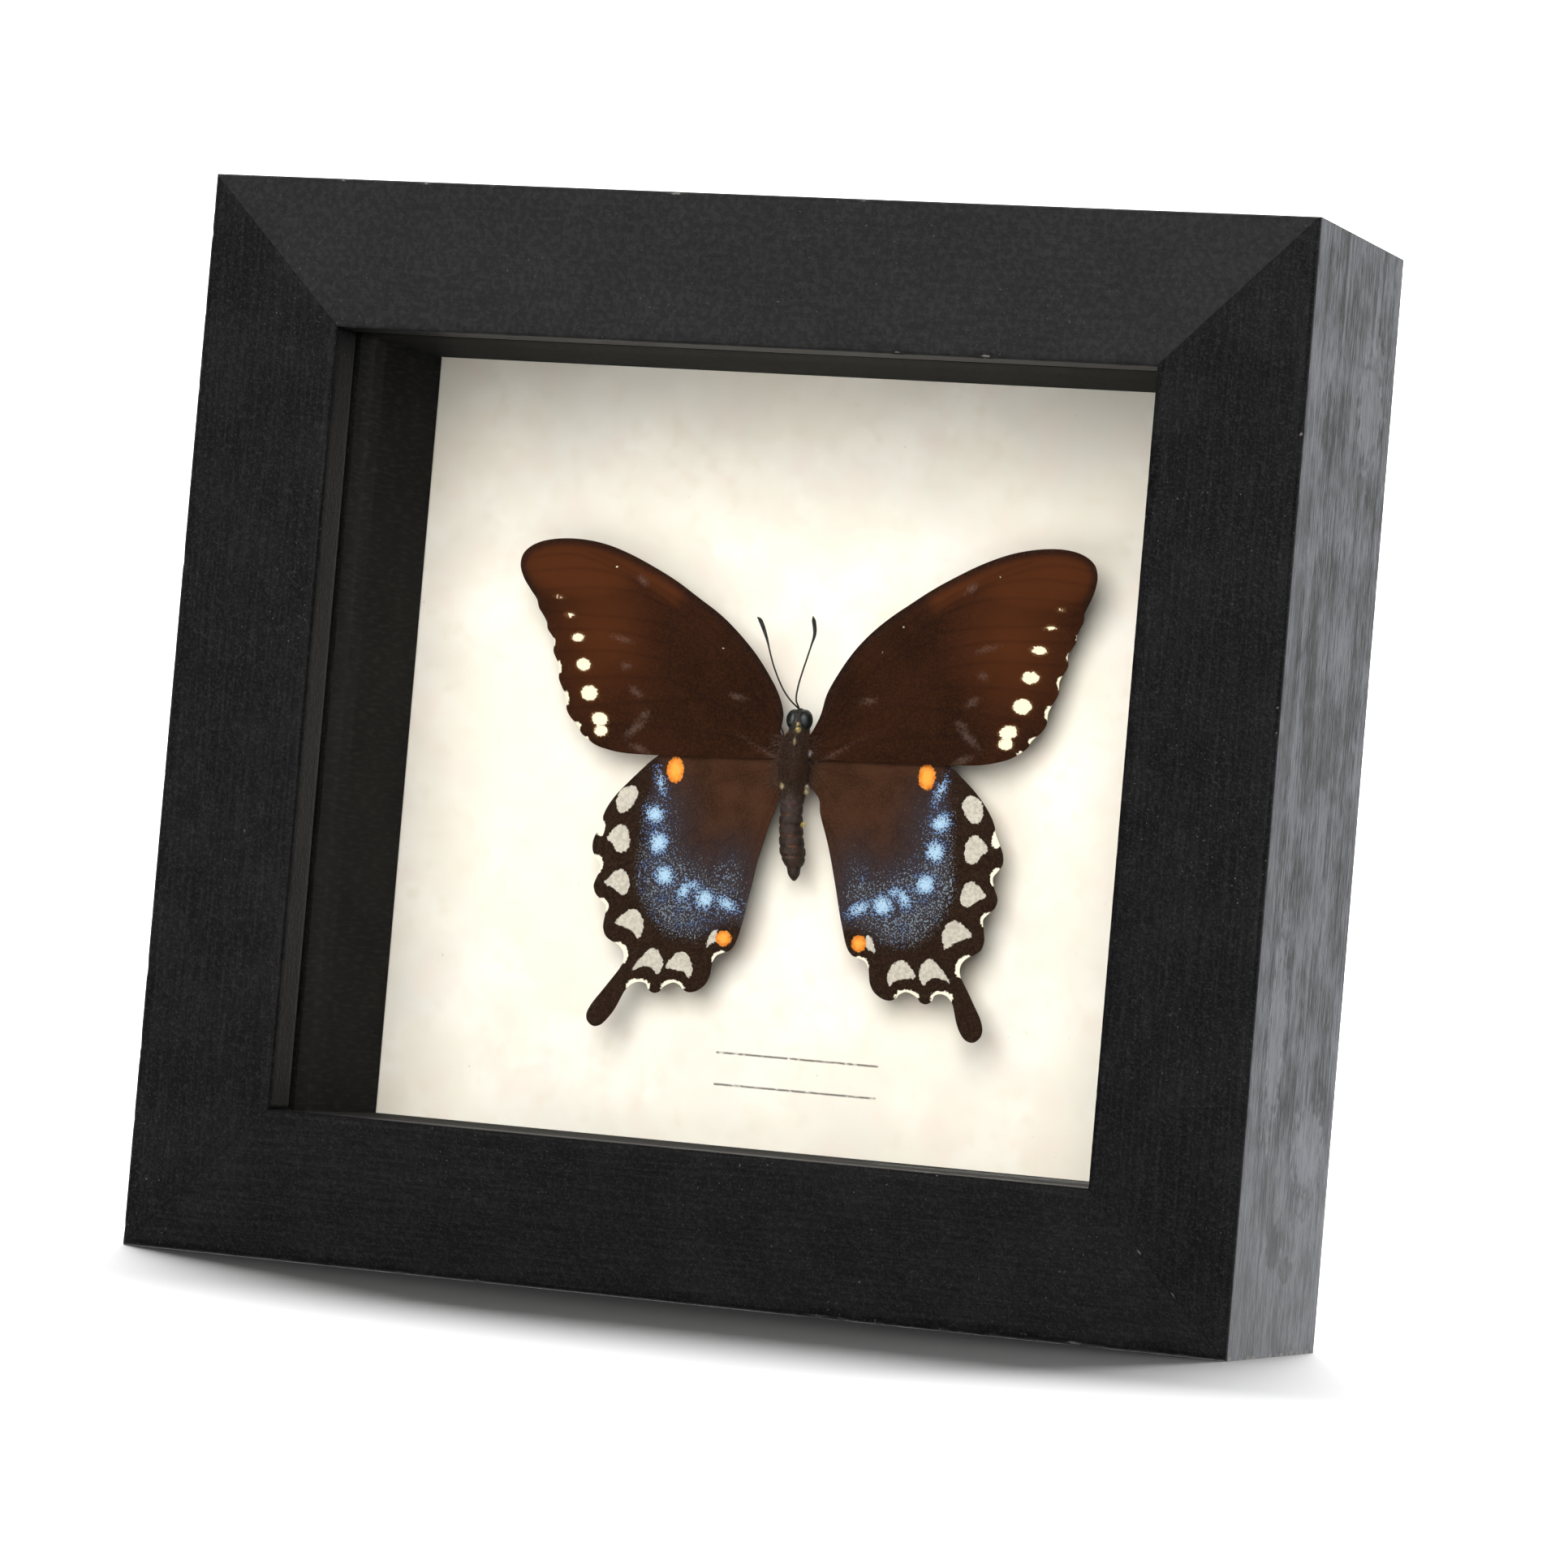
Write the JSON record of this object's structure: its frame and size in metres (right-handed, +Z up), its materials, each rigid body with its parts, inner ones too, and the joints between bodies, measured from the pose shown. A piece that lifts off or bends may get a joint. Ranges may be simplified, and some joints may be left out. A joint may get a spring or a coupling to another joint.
{
  "type": "framed butterfly specimen",
  "caption": "A spread, tailed butterfly fixed to a cream board inside a deep black wooden shadow-box frame with a glass front.",
  "frame": {"origin": "middle of the frame's footprint, on the surface that it stands on", "axes": "+X to the right seen from the front, -Y out of the window towards the viewer, +Z up"},
  "size_m": [0.172, 0.0484, 0.161],
  "materials": {
    "black_painted_wood": "thin satin black paint over wood, grain showing on the sides, edges worn",
    "clear_glass": "clear and smooth",
    "black_lining": "matt black lining strips",
    "cream_paper": "matt cream parchment paper, softly mottled",
    "hardboard": "smooth brown hardboard",
    "zinc_steel": "thin zinc-plated steel",
    "body_hair": "dark brown hair and dry skin",
    "clear_glue": "clear set glue",
    "forewing_scales": "velvety dark brown wing scales with a row of cream spots",
    "hindwing_scales": "velvety brown-black wing scales dusted with blue, with pale crescents and orange spots",
    "antenna_black": "black, slightly glossy"
  },
  "bodies": {
    "root": {"frame_rail_top": "black_painted_wood", "frame_rail_bottom": "black_painted_wood", "frame_rail_left": "black_painted_wood", "frame_rail_right": "black_painted_wood", "glass_pane": "clear_glass", "spacer_left": "black_lining", "spacer_right": "black_lining", "spacer_top": "black_lining", "spacer_bottom": "black_lining", "mount_board": "cream_paper", "back_panel": "hardboard", "framers_point_top_a": "zinc_steel", "framers_point_top_b": "zinc_steel", "framers_point_right_a": "zinc_steel", "framers_point_right_b": "zinc_steel", "framers_point_bottom_a": "zinc_steel", "framers_point_bottom_b": "zinc_steel", "framers_point_left_a": "zinc_steel", "framers_point_left_b": "zinc_steel", "sawtooth_hanger": "zinc_steel", "hanger_nail_left": "zinc_steel", "hanger_nail_right": "zinc_steel", "butterfly_body": "body_hair", "glue_dab": "clear_glue", "forewing_left": "forewing_scales", "forewing_right": "forewing_scales", "hindwing_left": "hindwing_scales", "hindwing_right": "hindwing_scales", "antenna_left": "antenna_black", "antenna_right": "antenna_black"}
  },
  "joints": []
}
